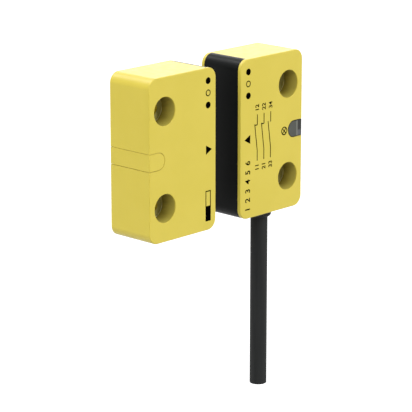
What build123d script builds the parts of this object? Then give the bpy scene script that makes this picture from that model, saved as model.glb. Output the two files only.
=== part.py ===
from build123d import *
import os

# A two-part magnetic guard switch: a wired switch block, and the magnet block that the guard carries.
# Millimetres. The origin is the centre of the switch block's two holes, on its mounting face.
# +X points away from the magnet block, +Y into the mounting surface and +Z up.

# Both blocks, seen from the front
block_width = 26.0
block_height = 46.0
block_depth = 15.0
corner_radius = 3.0
edge_round = 0.45
edge_break = 0.3
block_gap = 10.0
front_wall = 1.0
side_wall = 1.6

# Screw holes, in a line up each block and nearer to the side away from the other block
hole_end_inset = 9.5
hole_inset = 6.0
hole_diameter = 4.5
counterbore_diameter = 8.0
counterbore_depth = 5.2
boss_wall = 1.0

# Black lid on the side that faces the other block
lid_depth = 3.2
lid_wall = 1.4
lid_gap = 0.04
spigot_length = 1.5
spigot_wall = 1.0
spigot_clearance = 0.1

# Window that wraps from the front over the far side
window_width = 5.0
window_reach = 6.0
window_thickness = 1.6
window_gap = 0.05
window_seat_wall = 1.2
light_pipe_diameter = 2.4
light_pipe_inset = 4.3
light_pipe_clearance = 0.1

# Circuit board on edge rails, half way through the depth
board_thickness = 1.0
board_edge_gap = 1.4
board_clearance = 0.05
board_lid_gap = 1.0
board_boss_gap = 0.6
board_window_gap = 0.3
tongue_boss_gap = 1.1
tab_boss_gap = 0.4
tab_margin = 0.5
rail_width = 1.2
rail_height = 2.4
rail_lid_gap = 0.2
rail_length = 5.6

# Reed switches, one above another beside the lid, which share out the board's height
reed_diameter = 2.0
reed_wall = 0.35
reed_seal = 1.0
reed_end_bevel = 0.35
reed_lid_gap = 1.4
reed_standoff = 0.3
reed_edge_margin = 0.2
reed_foot_gap = 0.9
reed_leg_overhang = 1.4
reed_lead_width = 0.5
reed_lead_thickness = 0.35
reed_foot_length = 0.6
blade_width = 0.9
blade_thickness = 0.2
blade_overlap = 0.9
contact_gap = 0.12
lead_clearance = 0.02

# Parts soldered on the board's front
led_size = (1.6, 3.2, 1.6)
led_dome_diameter = 1.3
light_gap = 0.2
resistor_size = (2.0, 1.25, 0.5)
resistor_insets = (3.2, 5.7)
resistor_top_inset = 5.5
tongue_resistor_lap = 3.4
tongue_resistor_inset = 2.8
capacitor_size = (1.6, 3.2, 1.2)
capacitor_inset = 5.2
capacitor_height = 8.2
transistor_size = (2.9, 1.4, 1.1)
transistor_inset = 4.6
transistor_height = 1.6
transistor_leg_width = 0.4
transistor_leg_pitch = 1.9
transistor_leg_reach = 0.55
suppressor_size = (2.6, 4.4, 2.2)
suppressor_inset = 4.6
suppressor_height = -5.6
suppressor_tab_width = 1.5
suppressor_tab_reach = 0.5
tab_thickness = 0.2
chip_edge_round = 0.15

# Connecting lead, hanging straight down out of the bottom of the switch block
lead_diameter = 5.0
lead_bore = 3.7
lead_inset = 9.8
lead_drop = 54.0
collar_diameter = 7.0
collar_length = 2.9
collar_bevel = 0.7
collar_bore_clearance = 0.02
neck_diameter = 6.0
flange_diameter = 7.6
flange_thickness = 0.8
wire_diameter = 0.9
wire_pitch = 0.95
wire_board_gap = 0.02
conductor_diameter = 0.4
conductor_clearance = 0.02
wire_board_lap = 0.1
bare_end_gap = 0.2
wire_names = (("brown", "blue", "black"), ("white", "grey", "pink"))

# Magnet carrier and its coded magnets, one facing each reed switch
magnet_depth = 6.0
magnet_height = 8.0
magnet_thickness = 4.0
carrier_wall = 1.2
carrier_lid_gap = 0.3
carrier_side_gap = 0.9
carrier_rail_gap = 0.2
carrier_fin_reach = 4.0
magnet_clearance = 0.05

# Resin cast behind the board, between the lid and the way in of the lead
potting_clearance = 0.1

# Places that follow from the sizes
far_side = hole_inset
lid_face = hole_inset - block_width
middle_x = hole_inset - block_width / 2
half_height = block_height / 2
middle_depth = block_depth / 2
lid_inner = lid_face + lid_depth
inner_half_height = half_height - side_wall
inner_far = far_side - side_wall
boss_radius = counterbore_diameter / 2 + boss_wall
hole_height = half_height - hole_end_inset
hole_heights = (hole_height, -hole_height)
window_half = window_width / 2
window_round_x = far_side - window_reach + window_half
window_back = block_depth - window_thickness
seat_half = window_half + window_seat_wall
light_x = far_side - light_pipe_inset
light_hole_diameter = light_pipe_diameter + 2 * light_pipe_clearance
board_front = middle_depth + board_thickness / 2
board_back = middle_depth - board_thickness / 2
board_half_height = inner_half_height - board_edge_gap
board_left = lid_face + lid_wall + board_lid_gap
board_right = -boss_radius - board_boss_gap
tongue_half = hole_height - boss_radius - tongue_boss_gap
tongue_right = far_side - window_thickness - window_seat_wall - board_window_gap
rail_left = lid_inner + spigot_length + rail_lid_gap
reed_x = lid_face + lid_wall + reed_lid_gap + reed_diameter / 2
reed_depth = board_front + reed_standoff + reed_diameter / 2
reed_pitch = (2 * (board_half_height - reed_edge_margin) + reed_foot_gap) / 3
reed_leg_spacing = reed_pitch - reed_foot_gap - 2 * reed_foot_length
reed_length = reed_leg_spacing - 2 * reed_leg_overhang
reed_heights = {"upper": reed_pitch, "middle": 0.0, "lower": -reed_pitch}
resistor_places = [(board_right - inset, board_half_height - resistor_top_inset) for inset in resistor_insets]
resistor_places += [(board_right + tongue_resistor_lap, side * (tongue_half - tongue_resistor_inset))
                    for side in (-1, 1)]
capacitor_place = (board_right - capacitor_inset, capacitor_height)
transistor_place = (board_right - transistor_inset, transistor_height)
suppressor_place = (board_right - suppressor_inset, suppressor_height)
led_top = board_front + led_size[2]
pipe_end = led_top + light_gap
lead_x = far_side - lead_inset
lead_top = -inner_half_height + flange_thickness
wire_row = board_thickness / 2 + wire_diameter / 2 + wire_board_gap
tab_right = lead_x + wire_pitch + wire_diameter / 2 + tab_margin
tab_top = -hole_height - boss_radius - tab_boss_gap
lead_end = -half_height - lead_drop


def slab(outline, near, far):
    """An outline drawn in X and Z, thick from one depth in front of the mounting face to another."""
    return extrude(Plane.XZ.offset(near) * outline, far - near)


def area(left, right, bottom, top):
    """A rectangle in X and Z between its four sides."""
    return Pos((left + right) / 2, (bottom + top) / 2) * Rectangle(right - left, top - bottom)


def bar(left, right, bottom, top, near, far):
    """A straight block between two values of X, of Z and of depth."""
    return slab(area(left, right, bottom, top), near, far)


def post(x, z, diameter, near, far):
    """A round post or hole along the depth."""
    return slab(Pos(x, z) * Circle(diameter / 2), near, far)


def upright(x, depth, diameter, bottom, top):
    """A round bar along Z."""
    return extrude(Plane.XY.offset(bottom) * Pos(x, -depth) * Circle(diameter / 2), top - bottom)


def block_solid():
    """One block as if it were solid, with its rounded corners and softened rims."""
    outline = Pos(middle_x, 0) * RectangleRounded(block_width, block_height, corner_radius)
    block = slab(outline, 0, block_depth)
    block = fillet(block.faces().sort_by(Axis.Y)[0].edges(), edge_round)
    return chamfer(block.faces().sort_by(Axis.Y)[-1].edges(), edge_break)


def window_outline(grow):
    """The window seen from the front: a strip with one round end, out to the far side."""
    half = window_half + grow
    round_end = Pos(window_round_x, 0) * Circle(half)
    return round_end + area(window_round_x, far_side + 1, -half, half)


def window_space(grow, thickness):
    """The tongue on the front and the strip over the far side that the window takes up."""
    tongue = slab(window_outline(grow), block_depth - thickness, block_depth)
    half = window_half + grow
    return tongue + bar(far_side - thickness, far_side + 1, -half, half, 0, block_depth)


def board_rails():
    """Two ribs at the top and two at the bottom, which hold the board by its edges."""
    groove = board_thickness / 2 + board_clearance
    ribs = []
    for low, high in ((inner_half_height - rail_height, inner_half_height + side_wall / 2),
                      (-inner_half_height - side_wall / 2, rail_height - inner_half_height)):
        for side in (-1, 1):
            near, far = sorted((middle_depth + side * groove, middle_depth + side * (groove + rail_width)))
            ribs.append(bar(rail_left, rail_left + rail_length, low, high, near, far))
    return ribs


def inner_space():
    """The hollow of a housing: open towards the lid, and closed round the screw bosses and the window."""
    hollow = bar(lid_inner, inner_far, -inner_half_height, inner_half_height,
                 front_wall, block_depth - front_wall)
    for z in hole_heights:
        hollow -= post(0, z, 2 * boss_radius, 0, block_depth)
        hollow -= bar(0, far_side, z - boss_radius, z + boss_radius, 0, block_depth)
    hollow -= window_space(window_seat_wall, window_thickness + window_seat_wall)
    for rib in board_rails():
        hollow -= rib
    return hollow


def housing(has_cable):
    """A yellow housing. Only the wired one has a light hole behind its window and a way out for the lead."""
    shell = block_solid()
    shell -= bar(lid_face - 1, lid_inner, -half_height, half_height, front_wall, block_depth - front_wall)
    shell -= inner_space()
    shell -= window_space(0, window_thickness)
    for z in hole_heights:
        shell -= post(0, z, hole_diameter, 0, block_depth)
        shell -= post(0, z, counterbore_diameter, block_depth - counterbore_depth, block_depth)
    if has_cable:
        shell -= post(light_x, 0, light_hole_diameter, front_wall, block_depth)
        shell -= upright(lead_x, middle_depth, neck_diameter, -half_height, -inner_half_height)
    return shell


def lid():
    """The black lid: a shallow tub between the housing's two rims, with a spigot that plugs into it."""
    near = front_wall + lid_gap
    far = block_depth - front_wall - lid_gap
    tub = block_solid() & bar(lid_face, lid_inner, -half_height, half_height, near, far)
    outer = inner_half_height - spigot_clearance
    inner = outer - spigot_wall
    ring_near = front_wall + spigot_clearance
    ring_far = block_depth - front_wall - spigot_clearance
    ring_end = lid_inner + spigot_length
    tub += bar(lid_inner, ring_end, -outer, outer, ring_near, ring_far)
    return tub - bar(lid_face + lid_wall, ring_end, -inner, inner,
                     ring_near + spigot_wall, ring_far - spigot_wall)


def window(has_pipe):
    """The piece in the window slot, flush with the block; the clear one carries a light pipe."""
    piece = block_solid() & window_space(-window_gap, window_thickness)
    if has_pipe:
        piece += post(light_x, 0, light_pipe_diameter, pipe_end, window_back + window_thickness / 2)
    return piece


def circuit_board():
    """A board at full height beside the bosses, with a tongue to the window and a tab over the lead."""
    outline = area(board_left, board_right, -board_half_height, board_half_height)
    outline += area(board_right, tongue_right, -tongue_half, tongue_half)
    outline += area(board_right, tab_right, -board_half_height, tab_top)
    return slab(outline, board_back, board_front)


def reed_glass():
    """The sealed glass tube, with a slot at each end that its flat lead fills."""
    tube = extrude(Circle(reed_diameter / 2), reed_length / 2, both=True)
    tube = chamfer(tube.edges().filter_by(GeomType.CIRCLE), reed_end_bevel)
    tube -= extrude(Circle(reed_diameter / 2 - reed_wall), reed_length / 2 - reed_seal, both=True)
    slot = Rectangle(reed_lead_width + 2 * lead_clearance, reed_lead_thickness + 2 * lead_clearance)
    return tube - extrude(slot, reed_length / 2, both=True)


def reed_blade(side):
    """One contact blade on its lead, which leaves the glass, steps down and ends flat on the board."""
    root = reed_length / 2 - reed_seal - blade_width / 2
    lap = blade_overlap / 2
    level = side * (contact_gap + blade_thickness) / 2
    blade = Pos(0, level, (root - lap) / 2) * Box(blade_width, blade_thickness, root + lap)
    out = reed_leg_spacing / 2
    half = reed_lead_thickness / 2
    drop = reed_depth - board_front
    path = Polyline((root - blade_width / 2, -half), (out, -half), (out, drop - reed_lead_thickness),
                    (out + reed_foot_length, drop - reed_lead_thickness), (out + reed_foot_length, drop),
                    (out - reed_lead_thickness, drop), (out - reed_lead_thickness, half),
                    (root - blade_width / 2, half), close=True)
    strip = Plane(origin=(0, 0, 0), x_dir=(0, 0, 1), z_dir=(-1, 0, 0)) * make_face(path)
    piece = blade + extrude(strip, reed_lead_width / 2, both=True)
    return piece if side > 0 else mirror(piece, Plane.XY)


def at_reed(piece, z):
    return Pos(reed_x, -reed_depth, z) * piece


def status_led():
    """A moulded lamp with a low dome under the light pipe."""
    width, height, rise = led_size
    body = bar(light_x - width / 2, light_x + width / 2, -height / 2, height / 2, board_front, led_top)
    body = chamfer(body.edges().group_by(Axis.Y)[0], chip_edge_round)
    return body + Pos(light_x, -led_top, 0) * (Sphere(led_dome_diameter / 2) & Box(2, 2 * light_gap, 2))


def chip(place, size):
    """A chip part lying on the board: width along X, length along Z, and height."""
    x, z = place
    width, length, rise = size
    body = bar(x - width / 2, x + width / 2, z - length / 2, z + length / 2, board_front, board_front + rise)
    return chamfer(body.edges().group_by(Axis.Y)[0], chip_edge_round)


def output_transistor():
    """A small moulded transistor with two legs on one side and one on the other."""
    x, z = transistor_place
    width, height, rise = transistor_size
    body = chip(transistor_place, transistor_size)
    for offset, side in ((-transistor_leg_pitch / 2, -1), (transistor_leg_pitch / 2, -1), (0, 1)):
        low, high = sorted((z + side * height / 4, z + side * (height / 2 + transistor_leg_reach)))
        left = x + offset - transistor_leg_width / 2
        body += bar(left, left + transistor_leg_width, low, high, board_front, board_front + tab_thickness)
    return body


def suppressor():
    """The diode that clips switching surges, with a flat tab at each end."""
    x, z = suppressor_place
    width, length, rise = suppressor_size
    half = length / 2 + suppressor_tab_reach
    tabs = bar(x - suppressor_tab_width / 2, x + suppressor_tab_width / 2, z - half, z + half,
               board_front, board_front + tab_thickness)
    return chip(suppressor_place, suppressor_size) + tabs


def wires():
    """The insulation of each wire by its colour, and all the copper conductors."""
    insulation, copper = {}, []
    bare_top = tab_top - bare_end_gap
    top = wire_board_lap - board_half_height
    bore = conductor_diameter + 2 * conductor_clearance
    for row, names in zip((-1, 1), wire_names):
        for column, name in zip((-1, 0, 1), names):
            x = lead_x + column * wire_pitch
            depth = middle_depth - row * wire_row
            sleeve = upright(x, depth, wire_diameter, lead_end, top)
            insulation[name] = sleeve - upright(x, depth, bore, lead_end, top)
            copper.append(upright(x, depth, conductor_diameter, lead_end, bare_top))
    return insulation, copper


def grommet():
    """The bush that seals the lead in the bottom wall: a collar outside, a neck and a flange inside."""
    bottom = -half_height - collar_length
    bush = upright(lead_x, middle_depth, collar_diameter, bottom, -half_height)
    bush = chamfer(bush.edges().group_by(Axis.Z)[0], collar_bevel)
    bush += upright(lead_x, middle_depth, neck_diameter, -half_height, -inner_half_height)
    bush += upright(lead_x, middle_depth, flange_diameter, -inner_half_height, lead_top)
    return bush - upright(lead_x, middle_depth, lead_diameter + 2 * collar_bore_clearance, bottom, lead_top)


def lead_jacket():
    """The lead's round jacket, cut square at its free end."""
    jacket = upright(lead_x, middle_depth, lead_diameter, lead_end, lead_top)
    return jacket - upright(lead_x, middle_depth, lead_bore, lead_end, lead_top)


def potting():
    """The block of resin that holds the board's back, clear of the rails and of the lead."""
    left = lid_inner + spigot_length + potting_clearance
    right = lead_x - flange_diameter / 2 - potting_clearance
    top = board_back - board_clearance - rail_width - potting_clearance
    return bar(left, right, -inner_half_height, inner_half_height, front_wall, top)


def magnet(z, grow):
    """One block magnet in its pocket, or with a clearance the pocket itself."""
    left = lid_face + lid_wall + carrier_lid_gap
    half_depth = magnet_depth / 2 + grow
    half = magnet_height / 2 + grow
    return bar(left, left + magnet_thickness + grow, z - half, z + half,
               middle_depth - half_depth, middle_depth + half_depth)


def magnet_carrier():
    """The comb that holds the magnets at the lid, with a fin that slides between the rails."""
    left = lid_face + lid_wall + carrier_lid_gap
    right = left + magnet_thickness + magnet_clearance + carrier_wall
    half = inner_half_height - rail_height - carrier_rail_gap
    edge = front_wall + spigot_clearance + spigot_wall + carrier_side_gap
    comb = bar(left, right, -half, half, edge, block_depth - edge)
    comb += bar(left, right + carrier_fin_reach, -board_half_height, board_half_height,
                board_back, board_front)
    for z in reed_heights.values():
        comb -= magnet(z, magnet_clearance)
    return comb


def on_guard(piece):
    """The place of a piece of the magnet block, which is turned to face the switch block."""
    return Pos(2 * lid_face - block_gap, 0, 0) * Rot(0, 180, 0) * piece


def switch_block():
    """Every piece of the switch block by its name."""
    pieces = {"switch_housing": housing(True), "switch_lid": lid(), "indicator_window": window(True),
              "circuit_board": circuit_board(), "status_led": status_led(),
              "chip_capacitor": chip(capacitor_place, capacitor_size),
              "output_transistor": output_transistor(), "suppressor_diode": suppressor(),
              "cable_grommet": grommet(), "lead_jacket": lead_jacket(), "potting_block": potting()}
    resistors = [chip(place, resistor_size) for place in resistor_places]
    insulation, copper = wires()
    pieces["chip_resistors"] = Compound(children=resistors)
    pieces["wire_conductors"] = Compound(children=copper)
    for name, piece in insulation.items():
        pieces[f"wire_{name}"] = piece
    for name, z in reed_heights.items():
        pieces[f"reed_glass_{name}"] = at_reed(reed_glass(), z)
        blades = [at_reed(reed_blade(side), z) for side in (-1, 1)]
        pieces[f"reed_blades_{name}"] = Compound(children=blades)
    return pieces


def magnet_block():
    """Every piece of the magnet block by its name."""
    pieces = {"actuator_housing": housing(False), "actuator_lid": lid(), "window_blank": window(False),
              "magnet_carrier": magnet_carrier()}
    for name, z in reed_heights.items():
        # The half turn onto the guard swaps top and bottom
        pieces[f"magnet_{name}"] = magnet(-z, 0)
    return {name: on_guard(piece) for name, piece in pieces.items()}


os.makedirs("parts", exist_ok=True)
for name, piece in {**switch_block(), **magnet_block()}.items():
    export_step(piece, f"parts/{name}.step")
    print(f"{name:24s} {len(piece.solids()):3d} solids {piece.volume:10.2f} mm3")
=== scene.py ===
from math import hypot, pi, radians

import bmesh
import bpy
from mathutils import Matrix, Vector


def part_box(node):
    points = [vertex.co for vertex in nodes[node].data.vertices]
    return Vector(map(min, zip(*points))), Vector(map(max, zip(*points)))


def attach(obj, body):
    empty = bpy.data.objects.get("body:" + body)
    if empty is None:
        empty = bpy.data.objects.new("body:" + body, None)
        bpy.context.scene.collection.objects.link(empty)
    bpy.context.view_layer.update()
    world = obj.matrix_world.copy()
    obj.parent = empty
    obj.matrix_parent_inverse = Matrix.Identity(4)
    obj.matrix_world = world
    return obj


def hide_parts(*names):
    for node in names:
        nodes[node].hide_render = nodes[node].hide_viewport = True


# A two-part magnetic guard switch, a wired block and its magnet block, in a pale studio
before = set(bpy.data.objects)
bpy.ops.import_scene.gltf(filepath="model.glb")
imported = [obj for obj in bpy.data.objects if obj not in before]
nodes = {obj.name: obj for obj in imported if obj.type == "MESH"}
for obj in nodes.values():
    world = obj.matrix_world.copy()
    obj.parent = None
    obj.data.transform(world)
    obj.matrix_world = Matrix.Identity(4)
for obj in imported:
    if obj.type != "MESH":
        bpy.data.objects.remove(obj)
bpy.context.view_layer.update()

# The frame's sizes are metres; sizes written here are millimetres times MM
MM = 0.001

# Places nearer to each other than this count as one
NEAR = 0.004 * MM

# The camera, as fitted to the photograph's edges
CAMERA_AIM = Vector((-33.957, -15.0, -15.902)) * MM
CAMERA_AZIMUTH = -46.391
CAMERA_ELEVATION = 15.011
CAMERA_DISTANCE = 617.94 * MM
CAMERA_LENS = 194.81
CAMERA_CLIP = (0.01, 50)
SENSOR_WIDTH = 36.0

# Studio, in metres and watts: each lamp's direction from the object, the length of its side and its power
LAMP_AIM = Vector((-25, -10, 0)) * MM
LAMP_DISTANCE = 2.5
LAMPS = {
    "left_front": ((-0.95, -0.45, 0.45), 1.2, 21.5),
    "left_back": ((-0.95, 0.15, 0.60), 1.2, 22.0),
    "overhead_back": ((-0.20, 0.60, 0.90), 1.2, 42.0),
    "front_right": ((0.45, -0.85, 0.50), 1.2, 51.5),
    "backdrop_glow": ((0.70, 0.66, 0.32), 1.6, 15.5),
}
SKY_LIGHT = 0.06
SKY_SEEN = 1.0
FLOOR_HEIGHT = -0.25
FLOOR_SIZE = 12.0
FLOOR_PAINT = "a8a8a8"
FLOOR_GLOW = 0.9
WHITE = "ffffff"

# The switch block's box; the magnet block is the same, turned half round to face it
LOW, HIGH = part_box("switch_housing")
FRONT, BACK = LOW.y, HIGH.y
GUARD_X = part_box("actuator_housing")[0].x + HIGH.x
ON_GUARD = Matrix.Translation((GUARD_X, 0, 0)) @ Matrix.Rotation(pi, 4, "Y")

# Housing: rounded block, walls, bosses and screw holes
CORNER_RADIUS = 3.0 * MM
CORNER_STEPS = 18
RIM_ROUND = 0.28 * MM
RIM_STEPS = 5
BACK_ROUND = 0.15 * MM
FRONT_WALL = 1.0 * MM
SIDE_WALL = 1.6 * MM
HOLE_X = HIGH.x - 6.0 * MM
HOLE_HEIGHT = 13.5 * MM
HOLE_HEIGHTS = (HOLE_HEIGHT, -HOLE_HEIGHT)
HOLE_RADIUS = 2.25 * MM
COUNTERBORE_RADIUS = 4.0 * MM
COUNTERBORE_DEPTH = 5.2 * MM
BOSS_RADIUS = 5.0 * MM
MOUTH_ROUND = 0.16 * MM
BORE_STEPS = 64

# A corner this near to the circle of a hole's mouth lies on it
ON_MOUTH = 0.02 * MM

# Board rails on the hollow's top and bottom
RAIL_START = 1.7 * MM
RAIL_LENGTH = 5.6 * MM
RAIL_HEIGHT = 2.4 * MM
RAIL_WIDTH = 1.2 * MM
RAIL_GROOVE = 0.55 * MM

# Lid
LID_DEPTH = 3.2 * MM
LID_WALL = 1.4 * MM
LID_GAP = 0.04 * MM
LID_INNER = LOW.x + LID_DEPTH
SPIGOT_LENGTH = 1.5 * MM
SPIGOT_WALL = 1.0 * MM
SPIGOT_GAP = 0.1 * MM
SEAM_ROUND = 0.06 * MM

# Window, and the light pipe behind it
WINDOW_HALF = 2.5 * MM
WINDOW_REACH = 6.0 * MM
WINDOW_DEPTH = 1.6 * MM
WINDOW_SEAT = 1.2 * MM
WINDOW_GAP = 0.12 * MM
WINDOW_STEPS = 16
ROUND_END_SHARE = 0.998
PIPE_X = HIGH.x - 4.3 * MM
PIPE_RADIUS = 1.2 * MM
PIPE_GAP = 0.1 * MM
PIPE_TO_LAMP = 0.2 * MM

# How far a cutting tool reaches past what it cuts
PAST = 1.0 * MM

# Corners sharper than these, in radians, are rounded along a seam, or shaded as an edge
SEAM_ANGLE = radians(50)
EDGE_ANGLE = radians(32)

# Lead: the same route as its CAD tube, straight down out of the collar
LEAD_ROUTE = [Vector(p) * MM for p in ((-3.8, -7.5, -20.6), (-3.8, -7.5, -48.0), (-3.8, -7.5, -77.0))]
LEAD_RADIUS = 2.5 * MM
LEAD_BORE_RADIUS = 1.85 * MM
LEAD_EDGE = 0.12 * MM
LEAD_STEPS = 56
NECK_RADIUS = 3.0 * MM
COLLAR_RADIUS = 3.5 * MM
COLLAR_ROUND = 0.8 * MM
COLLAR_ROUND_STEPS = 6
COLLAR_FIT = 0.02 * MM

# Printing: each block's print reads from the side that faces away from the other block
PRINT_TURN = {"switch": Matrix(((0, -1, 0, 0), (0, 0, -1, 0), (1, 0, 0, 0), (0, 0, 0, 1))),
              "actuator": Matrix(((0, 1, 0, 0), (0, 0, -1, 0), (-1, 0, 0, 0), (0, 0, 0, 1)))}

# The ink stands a hair off the moulded face and reaches a little into it
INK_RISE = 0.012 * MM
INK_ROOT = 0.02 * MM

# Marks: u runs along the lettering and v up it, in millimetres from the middle of the switch block's holes
STROKE = 0.3
RING_STEPS = 32
TERMINAL_DIGIT = 1.5
CORE_DIGIT = 2.0
ARROW_HALF = 1.3
SWITCH_ARROW = (15.95, 18.35)
ACTUATOR_ARROW = (-33.95, -31.6)
CODE_DOTS = ((12.6, "filled"), (16.0, "open"), (19.4, "filled"))
CODE_RADIUS = 0.95
SWITCH_COLUMN = 16.8
ACTUATOR_COLUMN = -33.1
CORE_NUMBERS = {"1": -20.3, "2": -17.6, "3": -14.9, "4": -12.2, "5": -9.5, "6": -6.8}
CONTACTS = ((13.0, "11", "12", "closed"), (10.2, "21", "22", "closed"), (7.4, "33", "34", "open"))
CONTACT_REACH = 8.6
CONTACT_INSET = 1.9
CONTACT_ARM = 3.0
CONTACT_LIFT = 1.1
CONTACT_OVERLAP = 0.3
LAMP_SIGN = (0.0, 1.6, 1.25)
LAMP_CROSS = 0.8
MAGNET_SIGN = (16.0, 8.4, 1.8)

# How much bolder the digits are drawn than their font, in its own units
DIGIT_WEIGHT = 0.022

# Every finish: the part of a noise's range over which its tone or gloss changes, and how fine the noises are
TONE_RANGE = (0.35, 0.65)
GLOSS_RANGE = (0.3, 0.7)
SOFT_DETAIL = 2.0
GRAIN_DETAIL = 3.0

# How far the gloss wanders to each side, over how many grains, and how strongly the relief shows
GLOSS_WANDER = 0.03
GLOSS_GRAINS = 6
RELIEF_STRENGTH = 0.5

# Painted shade in the counterbores: the wall deep under its roof and low at its mouth, the shaded floor, and
# a painted glint
BORE_SHADE_DEEP = "615527"
BORE_SHADE_MOUTH = "d8ca61"
BORE_SHADE_FLOOR = "aba56a"
BORE_PAINTED_GLINT = "e0dab4"

# The direction in which the painted shade on a counterbore's wall deepens: inwards and, a little less,
# upwards
BORE_SHADE_FALL = Vector((0.0, 0.12, 0.09))

# How deep in a counterbore the painted shade starts and is full, and how far past the floor it ends
SHADE_START = 0.02 * MM
SHADE_FULL = 0.6 * MM
SHADE_PAST_FLOOR = 0.1 * MM

# A place nearer than this to the floor counts as floor, and one nearer to the wall as its corner
CORNER_NEAR = 0.15 * MM

# Heights from the hole's middle at which the painted glint on the floor's corner starts and is full
GLINT_START = 0.3 * MM
GLINT_FULL = -1.2 * MM

# What shows through the smoky window, painted on its surface: the step, the part below the chamber, the
# lamp's chamber as painted shade, and painted shade along the edge
WINDOW_STEP = "6e7068"
WINDOW_LOWER = "55575a"
WINDOW_CHAMBER_SHADE = "262723"
WINDOW_RIM_SHADE = "221f0c"

# Where each of these takes over: two along X, one upwards, one inwards, one out from the middle line
STEP_RANGE = (HIGH.x - 2.5 * MM, HIGH.x - 2.3 * MM)
WALL_RANGE = (HIGH.x - 1.9 * MM, HIGH.x - 1.7 * MM)
CHAMBER_RANGE = (-0.85 * MM, -0.4 * MM)
INWARD_RANGE = (FRONT + 0.3 * MM, FRONT + 1.4 * MM)
RIM_RANGE = (WINDOW_HALF - 0.42 * MM, WINDOW_HALF - 0.16 * MM)

# Tinned ends of the capacitor
TINNED = "b9b8b4"
TINNED_LENGTH = 0.5 * MM

# Tracks on the board
COPPER_UNDER_RESIST = "2a7444"
TRACK_PITCH = 1.1 * MM
TRACK_WIDTH = 0.4 * MM
TRACK_RUN = 7.0 * MM
TRACK_STEP_AT = 3.0 * MM
TRACK_STEP = 1.3 * MM


def linear(hex_colour):
    """An sRGB hex colour as linear RGB with full alpha."""
    parts = [int(hex_colour[i:i + 2], 16) / 255 for i in (0, 2, 4)]
    return [c / 12.92 if c <= 0.04045 else ((c + 0.055) / 1.055) ** 2.4 for c in parts] + [1.0]


def add(tree, kind, inputs=None, **settings):
    """Adds a node with its settings, values and links. An input may be a socket, a node or a value."""
    node = tree.nodes.new(kind)
    for name, value in settings.items():
        setattr(node, name, value)
    for name, value in (inputs or {}).items():
        if isinstance(value, bpy.types.Node):
            value = next(socket for socket in value.outputs if socket.enabled)
        if isinstance(value, bpy.types.NodeSocket):
            tree.links.new(value, node.inputs[name])
        else:
            node.inputs[name].default_value = value
    return node


def surface(name, light, dark, patch, roughness, grain, depth, stretch=(1, 1, 1), tint=None, sockets=None):
    """A finish: two close tones in soft patches, a gloss that wanders a little and a fine relief.

    Patch and grain are in millimetres across, and depth is the relief's height in millimetres."""
    material = bpy.data.materials.new(name)
    material.use_nodes = True
    tree = material.node_tree
    tree.nodes.clear()
    place = add(tree, "ShaderNodeTexCoord").outputs["Object"]
    drawn = add(tree, "ShaderNodeMapping", {"Vector": place, "Scale": stretch})
    patches = add(tree, "ShaderNodeTexNoise",
                  {"Vector": drawn, "Scale": 1 / (patch * MM), "Detail": SOFT_DETAIL})
    tone = add(tree, "ShaderNodeMapRange",
               {"Value": patches, "From Min": TONE_RANGE[0], "From Max": TONE_RANGE[1]},
               interpolation_type="SMOOTHSTEP")
    colour = add(tree, "ShaderNodeMix", {"Factor": tone, "A": linear(light), "B": linear(dark)},
                 data_type="RGBA")
    if tint:
        colour = tint(tree, place, colour)
    wander = add(tree, "ShaderNodeTexNoise",
                 {"Vector": drawn, "Scale": 1 / (GLOSS_GRAINS * grain * MM), "Detail": SOFT_DETAIL})
    gloss = add(tree, "ShaderNodeMapRange",
                {"Value": wander, "From Min": GLOSS_RANGE[0], "From Max": GLOSS_RANGE[1],
                 "To Min": roughness - GLOSS_WANDER, "To Max": roughness + GLOSS_WANDER},
                interpolation_type="SMOOTHSTEP")
    grit = add(tree, "ShaderNodeTexNoise",
               {"Vector": drawn, "Scale": 1 / (grain * MM), "Detail": GRAIN_DETAIL})
    relief = add(tree, "ShaderNodeBump",
                 {"Height": grit, "Strength": RELIEF_STRENGTH, "Distance": depth * MM})
    shader = add(tree, "ShaderNodeBsdfPrincipled",
                 {"Base Color": colour, "Roughness": gloss, "Normal": relief, **(sockets or {})})
    add(tree, "ShaderNodeOutputMaterial", {"Surface": shader})
    return material


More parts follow.
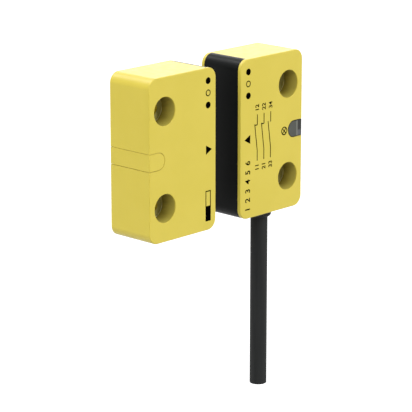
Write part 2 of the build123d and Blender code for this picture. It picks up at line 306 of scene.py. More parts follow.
def painted_bore_shade(hole_x):
    """Painted shade in a block's counterbores: walls that darken inwards and upwards, a greyer floor, a
    painted glint on the floor's corner.
    """
    bottom = FRONT + COUNTERBORE_DEPTH
    darkest = BORE_SHADE_FALL.dot(Vector((0, bottom, HOLE_HEIGHT + COUNTERBORE_RADIUS)))
    lightest = BORE_SHADE_FALL.dot(Vector((0, FRONT, HOLE_HEIGHT - COUNTERBORE_RADIUS)))

    def tint(tree, place, colour):
        # Height repeats every two hole heights, so that the lower hole falls on the upper one
        folded = add(tree, "ShaderNodeVectorMath", {0: place, 1: (1, 1, 2 * HOLE_HEIGHT), 2: (-1, -1, 0)},
                     operation="WRAP")
        axes = add(tree, "ShaderNodeSeparateXYZ", {0: folded}).outputs
        flat = add(tree, "ShaderNodeVectorMath", {0: folded, 1: (1, 0, 1)}, operation="MULTIPLY")
        away = add(tree, "ShaderNodeVectorMath", {0: flat, 1: (hole_x, 0, HOLE_HEIGHT)},
                   operation="DISTANCE")
        in_bore = add(tree, "ShaderNodeMath", {0: away, 1: COUNTERBORE_RADIUS + MOUTH_ROUND},
                      operation="LESS_THAN")
        below_mouth = add(tree, "ShaderNodeMapRange",
                          {"Value": axes["Y"], "From Min": FRONT + SHADE_START,
                           "From Max": FRONT + SHADE_FULL},
                          interpolation_type="SMOOTHSTEP")
        over_screw_hole = add(tree, "ShaderNodeMath", {0: axes["Y"], 1: bottom + SHADE_PAST_FLOOR},
                              operation="LESS_THAN")
        on_wall = add(tree, "ShaderNodeMath", {0: in_bore, 1: below_mouth}, operation="MULTIPLY")
        shaded = add(tree, "ShaderNodeMath", {0: on_wall, 1: over_screw_hole}, operation="MULTIPLY")
        on_floor = add(tree, "ShaderNodeMath", {0: axes["Y"], 1: bottom - CORNER_NEAR},
                       operation="GREATER_THAN")
        at_corner = add(tree, "ShaderNodeMath", {0: away, 1: COUNTERBORE_RADIUS - CORNER_NEAR},
                        operation="GREATER_THAN")
        low_side = add(tree, "ShaderNodeMapRange",
                       {"Value": axes["Z"], "From Min": HOLE_HEIGHT + GLINT_START,
                        "From Max": HOLE_HEIGHT + GLINT_FULL},
                       interpolation_type="SMOOTHSTEP")
        corner = add(tree, "ShaderNodeMath", {0: on_floor, 1: at_corner}, operation="MULTIPLY")
        glint = add(tree, "ShaderNodeMath", {0: corner, 1: low_side}, operation="MULTIPLY")
        # Painted shade: the wall darkens deeper in and nearer its roof, the floor is greyer, and its lower
        # corner gets a painted glint
        fall = add(tree, "ShaderNodeVectorMath", {0: folded, 1: BORE_SHADE_FALL}, operation="DOT_PRODUCT")
        lit = add(tree, "ShaderNodeMapRange", {"Value": fall, "From Min": darkest, "From Max": lightest})
        wall = add(tree, "ShaderNodeMix", {"Factor": lit, "A": linear(BORE_SHADE_DEEP), "B": linear(BORE_SHADE_MOUTH)},
                   data_type="RGBA")
        shade = add(tree, "ShaderNodeMix", {"Factor": on_floor, "A": wall, "B": linear(BORE_SHADE_FLOOR)},
                    data_type="RGBA")
        shade = add(tree, "ShaderNodeMix", {"Factor": glint, "A": shade, "B": linear(BORE_PAINTED_GLINT)},
                    data_type="RGBA")
        return add(tree, "ShaderNodeMix", {"Factor": shaded, "A": colour, "B": shade}, data_type="RGBA")
    return tint


def through_window(tree, place, colour):
    """Paints what shows through the smoky window: its step, the lamp's chamber beside that as painted shade,
    and painted shade along its edge.
    """
    axes = add(tree, "ShaderNodeSeparateXYZ", {0: place}).outputs
    past_step = add(tree, "ShaderNodeMapRange",
                    {"Value": axes["X"], "From Min": STEP_RANGE[0], "From Max": STEP_RANGE[1]})
    past_wall = add(tree, "ShaderNodeMapRange",
                    {"Value": axes["X"], "From Min": WALL_RANGE[0], "From Max": WALL_RANGE[1]})
    above = add(tree, "ShaderNodeMapRange",
                {"Value": axes["Z"], "From Min": CHAMBER_RANGE[0], "From Max": CHAMBER_RANGE[1]})
    inward = add(tree, "ShaderNodeMapRange",
                 {"Value": axes["Y"], "From Min": INWARD_RANGE[0], "From Max": INWARD_RANGE[1]})
    # The lamp's chamber as painted shade, paler below it
    side = add(tree, "ShaderNodeMix",
               {"Factor": above, "A": linear(WINDOW_LOWER), "B": linear(WINDOW_CHAMBER_SHADE)}, data_type="RGBA")
    side = add(tree, "ShaderNodeMix", {"Factor": inward, "A": side, "B": colour}, data_type="RGBA")
    colour = add(tree, "ShaderNodeMix", {"Factor": past_step, "A": colour, "B": linear(WINDOW_STEP)},
                 data_type="RGBA")
    colour = add(tree, "ShaderNodeMix", {"Factor": past_wall, "A": colour, "B": side}, data_type="RGBA")
    # The way from the tongue's middle line, which is straight at first and ends at the round end's centre
    from_end = add(tree, "ShaderNodeVectorMath", {0: place, 1: (HIGH.x - WINDOW_REACH + WINDOW_HALF, 0, 0)},
                   operation="SUBTRACT")
    round_part = add(tree, "ShaderNodeVectorMath", {0: from_end, 1: (0, 1, 1)}, operation="MINIMUM")
    flat = add(tree, "ShaderNodeVectorMath", {0: round_part, 1: (1, 0, 1)}, operation="MULTIPLY")
    from_middle = add(tree, "ShaderNodeVectorMath", {0: flat}, operation="LENGTH")
    # Painted shade along the window's edge
    rim = add(tree, "ShaderNodeMapRange",
              {"Value": from_middle, "From Min": RIM_RANGE[0], "From Max": RIM_RANGE[1]},
              interpolation_type="SMOOTHSTEP")
    return add(tree, "ShaderNodeMix", {"Factor": rim, "A": colour, "B": linear(WINDOW_RIM_SHADE)},
               data_type="RGBA")


def tinned_ends(tree, place, colour):
    """The tinned ends of the upright chip capacitor."""
    low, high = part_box("chip_capacitor")
    height = add(tree, "ShaderNodeSeparateXYZ", {0: place}).outputs["Z"]
    away = add(tree, "ShaderNodeMath", {0: height, 1: (low.z + high.z) / 2}, operation="SUBTRACT")
    away = add(tree, "ShaderNodeMath", {0: away}, operation="ABSOLUTE")
    end = add(tree, "ShaderNodeMath", {0: away, 1: (high.z - low.z) / 2 - TINNED_LENGTH},
              operation="GREATER_THAN")
    return add(tree, "ShaderNodeMix", {"Factor": end, "A": colour, "B": linear(TINNED)}, data_type="RGBA")


def copper_tracks(tree, place, colour):
    """Copper tracks that show paler under the solder resist: straight, with steps sideways at 45 degrees."""
    axes = add(tree, "ShaderNodeSeparateXYZ", {0: place}).outputs
    there_and_back = add(tree, "ShaderNodeMath", {0: axes["Z"], 1: TRACK_RUN}, operation="PINGPONG")
    step = add(tree, "ShaderNodeMapRange",
               {"Value": there_and_back, "From Min": TRACK_STEP_AT, "From Max": TRACK_STEP_AT + TRACK_STEP,
                "To Max": TRACK_STEP})
    across = add(tree, "ShaderNodeMath", {0: axes["X"], 1: step}, operation="ADD")
    from_track = add(tree, "ShaderNodeMath", {0: across, 1: TRACK_PITCH / 2}, operation="PINGPONG")
    on_track = add(tree, "ShaderNodeMath", {0: from_track, 1: TRACK_WIDTH / 2}, operation="LESS_THAN")
    return add(tree, "ShaderNodeMix", {"Factor": on_track, "A": colour, "B": linear(COPPER_UNDER_RESIST)},
               data_type="RGBA")


def box_mesh(low, high):
    """A plain block between two corners, as a bmesh."""
    low, high = Vector(low), Vector(high)
    bm = bmesh.new()
    bmesh.ops.create_cube(bm, size=1, matrix=Matrix.Translation((low + high) / 2)
                          @ Matrix.Diagonal((*(high - low), 1)))
    return bm


def bored_mesh(x, z, radius, near, far):
    """A round bar along Y, as a bmesh."""
    bm = bmesh.new()
    middle = Matrix.Translation((x, (near + far) / 2, z)) @ Matrix.Rotation(pi / 2, 4, "X")
    bmesh.ops.create_cone(bm, cap_ends=True, segments=BORE_STEPS, radius1=radius, radius2=radius,
                          depth=far - near, matrix=middle)
    return bm


def soften(bm, edges, width, segments=3):
    """Rounds those edges by a small width."""
    bmesh.ops.bevel(bm, geom=edges, offset=width, offset_type="OFFSET", segments=segments, profile=0.5,
                    affect="EDGES", clamp_overlap=True, material=-1)


def edges_where(bm, test):
    """The edges whose two ends both pass a test of their place."""
    return [e for e in bm.edges if all(test(v.co) for v in e.verts)]


def creases(edges):
    """Those of the edges that are sharp."""
    return [e for e in edges if len(e.link_faces) == 2 and e.calc_face_angle() > SEAM_ANGLE]


def combine(bm, other, operation="DIFFERENCE"):
    """One mesh cut by, joined to or limited to another, which is used up."""
    pair = []
    for source in (bm, other):
        mesh = bpy.data.meshes.new("work")
        source.to_mesh(mesh)
        source.free()
        pair.append(bpy.data.objects.new("work", mesh))
        bpy.context.scene.collection.objects.link(pair[-1])
    modifier = pair[0].modifiers.new("combine", "BOOLEAN")
    modifier.object = pair[1]
    modifier.operation = operation
    modifier.solver = "EXACT"
    shape = bpy.data.meshes.new_from_object(pair[0].evaluated_get(bpy.context.evaluated_depsgraph_get()))
    result = bmesh.new()
    result.from_mesh(shape)
    for work in pair:
        bpy.data.meshes.remove(work.data)
    bpy.data.meshes.remove(shape)
    return result


def finish_piece(bm, name, material, body, node=None):
    """Makes a bmesh a piece with smooth faces and crisp edges, which rides on a body.

    If it stands for a CAD node, that node is hidden."""
    mesh = bpy.data.meshes.new(name)
    bm.to_mesh(mesh)
    bm.free()
    mesh.polygons.foreach_set("use_smooth", [True] * len(mesh.polygons))
    mesh.set_sharp_from_angle(angle=EDGE_ANGLE)
    mesh.materials.append(material)
    piece = bpy.data.objects.new(name, mesh)
    bpy.context.scene.collection.objects.link(piece)
    piece.modifiers.new("face_weights", "WEIGHTED_NORMAL").keep_sharp = True
    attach(piece, body)
    if node:
        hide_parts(node)
    return piece


def place_on(bm, body):
    """Turns a mesh that was made on the switch block to face it, if it belongs to the magnet block."""
    if body == "actuator":
        bmesh.ops.transform(bm, matrix=ON_GUARD, verts=bm.verts)
    return bm


def block_mesh():
    """One block as if it were solid, with its rounded corners and softened rims."""
    bm = box_mesh(LOW, HIGH)
    corners = [e for e in bm.edges if abs(e.verts[0].co.y - e.verts[1].co.y) > NEAR]
    soften(bm, corners, CORNER_RADIUS, CORNER_STEPS)
    soften(bm, edges_where(bm, lambda p: abs(p.y - FRONT) < NEAR), RIM_ROUND, RIM_STEPS)
    soften(bm, edges_where(bm, lambda p: abs(p.y - BACK) < NEAR), BACK_ROUND)
    return bm


def window_space(gap):
    """The round-ended tongue on the front and the strip over the far side that the window takes up."""
    half = WINDOW_HALF - gap
    left = HIGH.x - WINDOW_REACH + gap
    tongue = box_mesh((left, FRONT - PAST, -half), (HIGH.x + PAST, FRONT + WINDOW_DEPTH - gap, half))
    round_end = [e for e in edges_where(tongue, lambda p: abs(p.x - left) < NEAR)
                 if abs(e.verts[0].co.y - e.verts[1].co.y) > NEAR]
    # A bevel can't take the whole of an edge, so the round end takes nearly all of it
    soften(tongue, round_end, half * ROUND_END_SHARE, WINDOW_STEPS)
    strip = box_mesh((HIGH.x - WINDOW_DEPTH + gap, FRONT - PAST, -half), (HIGH.x + PAST, BACK + PAST, half))
    return combine(tongue, strip, "UNION")


def hollow_mesh():
    """The hollow of a housing, which leaves its bosses, the window's seat and the board's rails standing."""
    top = HIGH.z - SIDE_WALL
    space = box_mesh((LID_INNER - PAST, FRONT + FRONT_WALL, -top),
                     (HIGH.x - SIDE_WALL, BACK - FRONT_WALL, top))
    for z in HOLE_HEIGHTS:
        space = combine(space, bored_mesh(HOLE_X, z, BOSS_RADIUS, FRONT, BACK))
        space = combine(space, box_mesh((HOLE_X, FRONT, z - BOSS_RADIUS), (HIGH.x, BACK, z + BOSS_RADIUS)))
    seat, seat_depth = WINDOW_HALF + WINDOW_SEAT, WINDOW_DEPTH + WINDOW_SEAT
    space = combine(space, box_mesh((HIGH.x - WINDOW_REACH - WINDOW_SEAT, FRONT, -seat),
                                    (HIGH.x, FRONT + seat_depth, seat)))
    space = combine(space, box_mesh((HIGH.x - seat_depth, FRONT, -seat), (HIGH.x, BACK, seat)))
    middle = (FRONT + BACK) / 2
    start = LID_INNER + RAIL_START
    for low, high in ((top - RAIL_HEIGHT, top + PAST), (-top - PAST, RAIL_HEIGHT - top)):
        for near in (middle - RAIL_GROOVE - RAIL_WIDTH, middle + RAIL_GROOVE):
            rail = box_mesh((start, near, low), (start + RAIL_LENGTH, near + RAIL_WIDTH, high))
            space = combine(space, rail)
    return space


def wiring_holes(shell):
    """The wired housing with the lead's way out of its floor and the hole behind its window."""
    bush = LEAD_ROUTE[0]
    way_out = bmesh.new()
    floor = Matrix.Translation((bush.x, bush.y, LOW.z + SIDE_WALL / 2))
    bmesh.ops.create_cone(way_out, cap_ends=True, segments=BORE_STEPS, radius1=NECK_RADIUS,
                          radius2=NECK_RADIUS, depth=SIDE_WALL + 2 * PAST, matrix=floor)
    seat_back = FRONT + WINDOW_DEPTH + WINDOW_SEAT + PAST
    return combine(combine(shell, way_out), bored_mesh(PIPE_X, 0, PIPE_RADIUS + PIPE_GAP, FRONT, seat_back))


def housing(node, body, material):
    """A yellow housing with its hollow, window slot and screw holes."""
    shell = combine(block_mesh(), box_mesh((LOW.x - PAST, FRONT + FRONT_WALL, LOW.z - PAST),
                                           (LID_INNER, BACK - FRONT_WALL, HIGH.z + PAST)))
    shell = combine(shell, hollow_mesh())
    shell = combine(shell, window_space(0.0))
    for z in HOLE_HEIGHTS:
        counterbore = bored_mesh(HOLE_X, z, COUNTERBORE_RADIUS, FRONT - PAST, FRONT + COUNTERBORE_DEPTH)
        shell = combine(shell, counterbore)
        shell = combine(shell, bored_mesh(HOLE_X, z, HOLE_RADIUS, FRONT, BACK + PAST))
    if body == "switch":
        shell = wiring_holes(shell)
    for z in HOLE_HEIGHTS:
        for radius, face in ((COUNTERBORE_RADIUS, FRONT), (HOLE_RADIUS, BACK)):
            mouth = edges_where(shell, lambda p: abs(p.y - face) < NEAR
                                and abs(hypot(p.x - HOLE_X, p.z - z) - radius) < ON_MOUTH)
            soften(shell, mouth, MOUTH_ROUND)
    finish_piece(place_on(shell, body), node + "_shell", material, body, node)


def lid(node, body, material):
    """A black lid: a tub that lies flush between the housing's rims, with a spigot that plugs into it."""
    near, far = FRONT + FRONT_WALL + LID_GAP, BACK - FRONT_WALL - LID_GAP
    between_rims = box_mesh((LOW.x - PAST, near, LOW.z - PAST), (LID_INNER, far, HIGH.z + PAST))
    tub = combine(block_mesh(), between_rims, "INTERSECT")
    seam = edges_where(tub, lambda p: min(abs(p.y - near), abs(p.y - far)) < NEAR
                       or (abs(p.x - LID_INNER) < NEAR and abs(abs(p.z) - HIGH.z) < NEAR))
    soften(tub, creases(seam), SEAM_ROUND)
    side = SPIGOT_GAP - LID_GAP
    outer = HIGH.z - SIDE_WALL - SPIGOT_GAP
    inner = outer - SPIGOT_WALL
    end = LID_INNER + SPIGOT_LENGTH
    spigot = box_mesh((LID_INNER - LID_WALL, near + side, -outer), (end, far - side, outer))
    tub = combine(tub, spigot, "UNION")
    wall = side + SPIGOT_WALL
    room = box_mesh((LOW.x + LID_WALL, near + wall, -inner), (end + PAST, far - wall, inner))
    tub = combine(tub, room)
    finish_piece(place_on(tub, body), node + "_moulding", material, body, node)


def window(node, body, material):
    """The piece in a window slot, flush with its block; the smoky one has a light pipe down to the lamp."""
    piece = combine(block_mesh(), window_space(WINDOW_GAP), "INTERSECT")
    soften(piece, creases(piece.edges), SEAM_ROUND)
    if body == "switch":
        pipe_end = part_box("status_led")[0].y - PIPE_TO_LAMP
        pipe = bored_mesh(PIPE_X, 0, PIPE_RADIUS, FRONT + WINDOW_DEPTH / 2, pipe_end)
        piece = combine(piece, pipe, "UNION")
    finish_piece(place_on(piece, body), node + "_moulding", material, body, node)


def collar(material):
    """The bush round the lead: a collar with a soft lower edge, a neck in the wall and a flange inside."""
    low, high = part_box("cable_grommet")
    flange = (high.x - low.x) / 2
    bore = LEAD_RADIUS + COLLAR_FIT
    wall_top = LOW.z + SIDE_WALL
    bm = bmesh.new()
    verts = [bm.verts.new((x, 0, z)) for x, z in
             ((bore, low.z), (COLLAR_RADIUS, low.z), (COLLAR_RADIUS, LOW.z), (NECK_RADIUS, LOW.z),
              (NECK_RADIUS, wall_top), (flange, wall_top), (flange, high.z), (bore, high.z))]
    edges = [bm.edges.new(pair) for pair in zip(verts, verts[1:] + verts[:1])]
    bmesh.ops.spin(bm, geom=verts + edges, cent=(0, 0, 0), axis=(0, 0, 1), angle=2 * pi, steps=BORE_STEPS,
                   use_merge=True)
    bmesh.ops.remove_doubles(bm, verts=bm.verts, dist=NEAR)
    lower_edge = edges_where(bm, lambda p: abs(p.z - low.z) < NEAR
                             and abs(hypot(p.x, p.y) - COLLAR_RADIUS) < NEAR)
    soften(bm, lower_edge, COLLAR_ROUND, COLLAR_ROUND_STEPS)
    bmesh.ops.translate(bm, verts=bm.verts, vec=(LEAD_ROUTE[0].x, LEAD_ROUTE[0].y, 0))
    bmesh.ops.recalc_face_normals(bm, faces=bm.faces)
    finish_piece(bm, "lead_collar", material, "switch", "cable_grommet")


def route_line(route):
    """Points along the smooth line that has the route as its control points."""
    curve = bpy.data.curves.new("route", "CURVE")
    curve.dimensions = "3D"
    spline = curve.splines.new("NURBS")
    spline.points.add(len(route) - 1)
    for point, place in zip(spline.points, route):
        point.co = (*place, 1)
    spline.order_u = 3
    spline.use_endpoint_u = True
    line = bpy.data.objects.new("route", curve)
    points = [v.co.copy() for v in bpy.data.meshes.new_from_object(line).vertices]
    bpy.data.curves.remove(curve)
    return points


def lead(material):
    """The round jacket of the lead, a tube along its route with a clean cut at the free end."""
    path = route_line(LEAD_ROUTE)
    bm = bmesh.new()
    top = Matrix.Translation(path[0])
    for radius in (LEAD_RADIUS, LEAD_BORE_RADIUS):
        bmesh.ops.create_circle(bm, segments=LEAD_STEPS, radius=radius, matrix=top)
    wall = bmesh.ops.bridge_loops(bm, edges=bm.edges[:])["faces"]
    for here, there in zip(path, path[1:]):
        moved = bmesh.ops.extrude_face_region(bm, geom=wall)["geom"]
        wall = [g for g in moved if isinstance(g, bmesh.types.BMFace)]
        new_verts = [g for g in moved if isinstance(g, bmesh.types.BMVert)]
        bmesh.ops.translate(bm, verts=new_verts, vec=there - here)
    bmesh.ops.recalc_face_normals(bm, faces=bm.faces)
    soften(bm, creases(edges_where(bm, lambda p: abs(p.z - path[-1].z) < NEAR)), LEAD_EDGE)
    jacket = finish_piece(bm, "lead_outer_jacket", material, "switch", "lead_jacket")


def on_face(u, v, turn=0.0, wide=1.0, high=1.0):
    """A place on the printed face, in millimetres, with a turn in radians and a size."""
    return (Matrix.Translation((u * MM, v * MM, 0)) @ Matrix.Rotation(turn, 4, "Z")
            @ Matrix.Diagonal((wide * MM, high * MM, 1, 1)))


def stroke(bm, start, end, width=STROKE):
    """A straight printed line between two points."""
    start, end = Vector(start), Vector(end)
    turn = -Vector((1, 0)).angle_signed(end - start)
    bmesh.ops.create_grid(bm, x_segments=1, y_segments=1, size=0.5,
                          matrix=on_face(*(start + end) / 2, turn, (end - start).length, width))


def ring(bm, u, v, radius):
    """An open ring."""
    rims = [bmesh.ops.create_circle(bm, segments=RING_STEPS, radius=r, matrix=on_face(u, v))["verts"]
            for r in (radius, radius - STROKE)]
    both = dict.fromkeys(e for rim in rims for p in rim for e in p.link_edges)
    bmesh.ops.bridge_loops(bm, edges=list(both))


def code_dots(bm, v, side):
    """The three coding dots, which are the same on both blocks."""
    for u, kind in CODE_DOTS:
        if kind == "open":
            ring(bm, side * u, v, CODE_RADIUS)
        else:
            bmesh.ops.create_circle(bm, cap_ends=True, segments=RING_STEPS, radius=CODE_RADIUS,
                                    matrix=on_face(side * u, v))


def digits(bm, text, u, v, height):
    """Plain numbers, centred on a point."""
    curve = bpy.data.curves.new("digits", "FONT")
    curve.body = text
    curve.align_x = "CENTER"
    curve.align_y = "CENTER"
    curve.offset = DIGIT_WEIGHT
    mesh = bpy.data.meshes.new_from_object(bpy.data.objects.new("digits", curve))
    tall = max(p.co.y for p in mesh.vertices) - min(p.co.y for p in mesh.vertices)
    mesh.transform(on_face(u, v, 0, height / tall, height / tall))
    bm.from_mesh(mesh)
    bpy.data.meshes.remove(mesh)
    bpy.data.curves.remove(curve)


def arrow(bm, base, tip):
    """The mark that points at the other block."""
    corners = ((-ARROW_HALF, base), (ARROW_HALF, base), (0, tip))
    bm.faces.new([bm.verts.new((u * MM, v * MM, 0)) for u, v in corners])


def contact(bm, v, first, second, at_rest):
    """A contact's sign between its two plain terminal numbers."""
    start, end = CONTACT_INSET - CONTACT_REACH, CONTACT_REACH - CONTACT_INSET
    hinge, post = start + CONTACT_ARM, end - CONTACT_ARM
    digits(bm, first, -CONTACT_REACH, v, TERMINAL_DIGIT)
    digits(bm, second, CONTACT_REACH, v, TERMINAL_DIGIT)
    stroke(bm, (start, v), (hinge, v))
    stroke(bm, (post, v), (end, v))
    stroke(bm, (hinge, v), (post + CONTACT_OVERLAP, v + CONTACT_LIFT))
    if at_rest == "closed":
        stroke(bm, (post, v), (post, v + CONTACT_LIFT))


def print_on(body, name, bm, ink):
    """Gives flat marks their thickness and puts them on the front face of their block."""
    moved = bmesh.ops.extrude_face_region(bm, geom=list(bm.faces))["geom"]
    raised = [g for g in moved if isinstance(g, bmesh.types.BMVert)]
    bmesh.ops.translate(bm, verts=raised, vec=(0, 0, INK_ROOT + INK_RISE))
    on_front = Matrix.Translation((0, FRONT + INK_ROOT, 0)) @ PRINT_TURN[body]
    bmesh.ops.transform(bm, matrix=on_front, verts=bm.verts)
    bmesh.ops.recalc_face_normals(bm, faces=bm.faces)
    finish_piece(bm, name, ink, body)


def switch_print(ink):
    """On the switch block: arrow, coding dots, core numbers, contact signs and the lamp's sign."""
    bm = bmesh.new()
    arrow(bm, *SWITCH_ARROW)
    code_dots(bm, SWITCH_COLUMN, 1)
    for number, u in CORE_NUMBERS.items():
        digits(bm, number, u, SWITCH_COLUMN, CORE_DIGIT)
    for sign in CONTACTS:
        contact(bm, *sign)
    u, v, radius = LAMP_SIGN
    ring(bm, u, v, radius)
    for side in (-1, 1):
        stroke(bm, (u - LAMP_CROSS, v - side * LAMP_CROSS), (u + LAMP_CROSS, v + side * LAMP_CROSS))
    print_on("switch", "switch_front_print", bm, ink)


def actuator_print(ink):
    """On the magnet block: arrow, the same coding dots and a bar magnet's sign."""
    bm = bmesh.new()
    arrow(bm, *ACTUATOR_ARROW)
    code_dots(bm, ACTUATOR_COLUMN, -1)
    u, length, height = MAGNET_SIGN
    v = ACTUATOR_COLUMN
    for side in (-1, 1):
        edge, end = side * height / 2, side * length / 2
        stroke(bm, (u - (length + STROKE) / 2, v + edge), (u + (length + STROKE) / 2, v + edge))
        stroke(bm, (u + end, v - height / 2), (u + end, v + height / 2))
    stroke(bm, (u, v), (u + length / 2, v), height)
    print_on("actuator", "actuator_front_print", bm, ink)


def finish_nodes(material, *names):
    """Gives CAD nodes whose shape is right their finish."""
    for name in names:
        slot = nodes[name].material_slots[0]
        slot.link = "OBJECT"
        slot.material = material


def outer_pieces():
    """What shows: housings, lids, windows, bush and print."""
    # Moulded PBT: an even satin yellow, whose fine spark texture only softens its reflections.
    # The texture is drawn at 0.3 mm, coarser than the real 0.05 mm, so that it still shows.
    yellow = dict(light="d9c64c", dark="d7c449", patch=9.0, roughness=0.42, grain=0.3, depth=0.003,
                  sockets={"Specular IOR Level": 0.4})
    # Each housing's yellow carries painted shade and a painted glint in its counterbores
    for node, body, hole_x in (("switch_housing", "switch", HOLE_X),
                               ("actuator_housing", "actuator", GUARD_X - HOLE_X)):
        housing(node, body, surface("spark_textured_yellow_pbt_" + body, tint=painted_bore_shade(hole_x), **yellow))
    # The blank comes from the same compound and finish as its housing
    window("window_blank", "actuator", surface("spark_textured_yellow_pbt_blank", **yellow))
    # Black PBT: deep and even, with little shine except at a glance along it
    black = surface("moulded_black_pbt", "080a0a", "060808", patch=7.0, roughness=0.42, grain=0.3,
                    depth=0.004, sockets={"Specular IOR Level": 0.09})
    lid("switch_lid", "switch", black)
    lid("actuator_lid", "actuator", black)
    # Polycarbonate with a smoke tint: smooth, with what lies behind it painted on, its chamber and edge as
    # painted shade
    smoky = surface("smoke_tinted_polycarbonate", "4a4d47", "474a44", patch=3.0, roughness=0.16, grain=0.5,
                    depth=0.001, tint=through_window, sockets={"Specular IOR Level": 0.25})
    window("indicator_window", "switch", smoky)
    # Moulded nitrile rubber: near black and dull
    collar(surface("moulded_nitrile_rubber", "0c0c0c", "0f0f0f", patch=2.5, roughness=0.6, grain=0.3,
                   depth=0.008, sockets={"Specular IOR Level": 0.2}))
    # Pad-printed ink: dense black in a thin dull film
    ink = surface("pad_printed_black_ink", "040302", "060504", patch=2.0, roughness=0.7, grain=0.25,
                  depth=0.001, sockets={"Specular IOR Level": 0.0})
    switch_print(ink)
    actuator_print(ink)


def inner_pieces():
    """What the housings hide: the board and its parts, reeds, magnets, resin and cores."""
    # Glass-fibre board under green solder resist: glossy, with its tracks a little paler
    finish_nodes(surface("solder_resist_on_fr4", "175a31", "14522c", patch=0.6, roughness=0.28, grain=0.45,
                         depth=0.02, tint=copper_tracks), "circuit_board")
    # Lamp body moulded in white polyphthalamide, with a soft sheen
    finish_nodes(surface("moulded_white_ppa", "f0efe8", "e6e4da", patch=0.8, roughness=0.35, grain=0.2,
                         depth=0.004), "status_led")
    # Thick-film resistors: glassy black tops
    finish_nodes(surface("fired_black_chip_glaze", "16161a", "1d1d21", patch=0.5, roughness=0.25, grain=0.15,
                         depth=0.004), "chip_resistors")
    # Multilayer ceramic with tinned ends: tan and dull
    finish_nodes(surface("sintered_tan_ceramic", "a98a62", "a1825b", patch=0.5, roughness=0.5, grain=0.12,
                         depth=0.004, tint=tinned_ends), "chip_capacitor")
    # Epoxy moulding compound: charcoal with a sandy grain
    finish_nodes(surface("moulded_epoxy_compound", "1b1b1d", "232325", patch=0.5, roughness=0.62, grain=0.08,
                         depth=0.008), "output_transistor", "suppressor_diode")
    # Cast epoxy: glossy black with slow waves where it set
    finish_nodes(surface("cast_epoxy_resin", "101013", "15151a", patch=4.0, roughness=0.14, grain=2.5,
                         depth=0.05), "potting_block")
    # Polyamide carrier: mid grey, satin, with a moulded grain
    finish_nodes(surface("moulded_grey_polyamide", "75777a", "6c6e71", patch=3.0, roughness=0.48, grain=0.25,
                         depth=0.008), "magnet_carrier")
    # Soft greenish glass of the reeds: clear, a little drawn along its length
    glass = surface("drawn_reed_glass", "cfe6d8", "c3ddcd", patch=1.5, roughness=0.05, grain=0.4,
                    depth=0.003, stretch=(1, 1, 0.2), sockets={"Transmission Weight": 0.9, "IOR": 1.52})
    # Rolled and plated nickel-iron: bright grey with rolling lines along the blade
    iron = surface("rolled_nickel_iron", "b7b5ae", "a9a7a1", patch=0.3, roughness=0.3, grain=0.06,
                   depth=0.004, stretch=(1, 1, 0.08), sockets={"Metallic": 1.0})
    # Tumbled nickel plate on the magnets: bright, with fine marks
    nickel = surface("tumbled_nickel_plate", "c9c6bd", "bdbab1", patch=1.2, roughness=0.22, grain=0.12,
                     depth=0.006, sockets={"Metallic": 1.0})
    for level in ("upper", "middle", "lower"):
        finish_nodes(glass, "reed_glass_" + level)
        finish_nodes(iron, "reed_blades_" + level)
        finish_nodes(nickel, "magnet_" + level)
    # Bunched copper strands, drawn along the core
    finish_nodes(surface("bunched_copper_strand", "c98760", "b8744e", patch=0.12, roughness=0.3, grain=0.09,
                         depth=0.02, stretch=(1, 1, 0.1), sockets={"Metallic": 1.0}), "wire_conductors")
    # Core insulation: extruded PVC, satin, with faint lines along its length
    for colour, light, dark in (("brown", "5a3a24", "533420"), ("blue", "2450a0", "1f4893"),
                                ("black", "161616", "1b1b1b"), ("white", "e4e3dd", "dad9d2"),
                                ("grey", "83858a", "7a7c80"), ("pink", "dc8d9c", "d38392")):
        finish_nodes(surface(f"extruded_{colour}_pvc", light, dark, patch=0.5, roughness=0.42, grain=0.2,
                             depth=0.006, stretch=(1, 1, 0.08)), "wire_" + colour)


def camera():
    """The photograph's camera."""
    data = bpy.data.cameras.new("photo_camera")
    data.sensor_width = SENSOR_WIDTH
    data.lens = CAMERA_LENS
    data.clip_start, data.clip_end = CAMERA_CLIP
    piece = bpy.data.objects.new("photo_camera", data)
    bpy.context.scene.collection.objects.link(piece)
    azimuth = Matrix.Rotation(radians(CAMERA_AZIMUTH), 4, "Z")
    elevation = Matrix.Rotation(radians(-CAMERA_ELEVATION), 4, "X")
    back = azimuth @ elevation @ Vector((0, -1, 0))
    piece.location = CAMERA_AIM + back * CAMERA_DISTANCE
    piece.rotation_mode = "QUATERNION"
    piece.rotation_quaternion = (-back).to_track_quat("-Z", "Y")
    bpy.context.scene.camera = piece


def soft_lamp(name, towards, size, watts):
    """A square white lamp that faces the pair of blocks from that direction."""
    data = bpy.data.lights.new(name, "AREA")
    data.size = size
    data.energy = watts
    lamp = bpy.data.objects.new(name, data)
    bpy.context.scene.collection.objects.link(lamp)
    towards = Vector(towards).normalized()
    lamp.location = LAMP_AIM + towards * LAMP_DISTANCE
    lamp.rotation_mode = "QUATERNION"
    lamp.rotation_quaternion = (-towards).to_track_quat("-Z", "Y")


def seen_or_mirrored(tree):
    """1 for rays from the camera, from a mirror reflection or through glass, and 0 for the light itself."""
    rays = add(tree, "ShaderNodeLightPath").outputs
    seen = add(tree, "ShaderNodeMath", {0: rays["Is Camera Ray"], 1: rays["Is Glossy Ray"]},
               operation="MAXIMUM")
    return add(tree, "ShaderNodeMath", {0: seen, 1: rays["Is Transmission Ray"]}, operation="MAXIMUM")


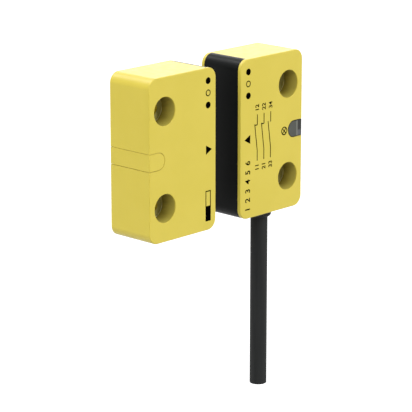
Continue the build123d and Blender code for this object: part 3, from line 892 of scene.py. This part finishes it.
def sky():
    """A white sky for the camera and mirrors, which lights the object only a little."""
    world = bpy.data.worlds.new("studio_sky")
    bpy.context.scene.world = world
    world.use_nodes = True
    tree = world.node_tree
    tree.nodes.clear()
    strength = add(tree, "ShaderNodeMapRange",
                   {"Value": seen_or_mirrored(tree), "To Min": SKY_LIGHT, "To Max": SKY_SEEN})
    white = add(tree, "ShaderNodeBackground", {"Color": linear(WHITE), "Strength": strength})
    add(tree, "ShaderNodeOutputWorld", {"Surface": white})


def studio_floor():
    """A plain pale floor well below the lead's end."""
    bm = bmesh.new()
    bmesh.ops.create_grid(bm, x_segments=1, y_segments=1, size=FLOOR_SIZE / 2,
                          matrix=Matrix.Translation((0, 0, FLOOR_HEIGHT)))
    mesh = bpy.data.meshes.new("studio_floor")
    bm.to_mesh(mesh)
    bm.free()
    floor = bpy.data.objects.new("studio_floor", mesh)
    bpy.context.scene.collection.objects.link(floor)
    # Matt pale paint, which glows for the camera and mirrors alone so that it meets the sky without an edge
    material = bpy.data.materials.new("matt_pale_floor_paint")
    material.use_nodes = True
    tree = material.node_tree
    tree.nodes.clear()
    paint = add(tree, "ShaderNodeBsdfDiffuse", {"Color": linear(FLOOR_PAINT)})
    glow = add(tree, "ShaderNodeEmission", {"Color": linear(WHITE), "Strength": FLOOR_GLOW})
    lit = add(tree, "ShaderNodeAddShader", {0: paint, 1: glow})
    shown = add(tree, "ShaderNodeMixShader", {"Fac": seen_or_mirrored(tree), 1: paint, 2: lit})
    add(tree, "ShaderNodeOutputMaterial", {"Surface": shown})
    mesh.materials.append(material)


camera()
# Extruded PVC jacket: matt dark grey, with faint lines along its length
lead(surface("extruded_black_pvc_jacket", "2c2d2d", "282929", patch=1.2, roughness=0.6, grain=0.35,
             depth=0.012, stretch=(1, 1, 0.06), sockets={"Specular IOR Level": 0.08}))
outer_pieces()
inner_pieces()
sky()
studio_floor()
for name, lamp in LAMPS.items():
    soft_lamp(name, *lamp)
bpy.context.scene.view_settings.view_transform = "Standard"
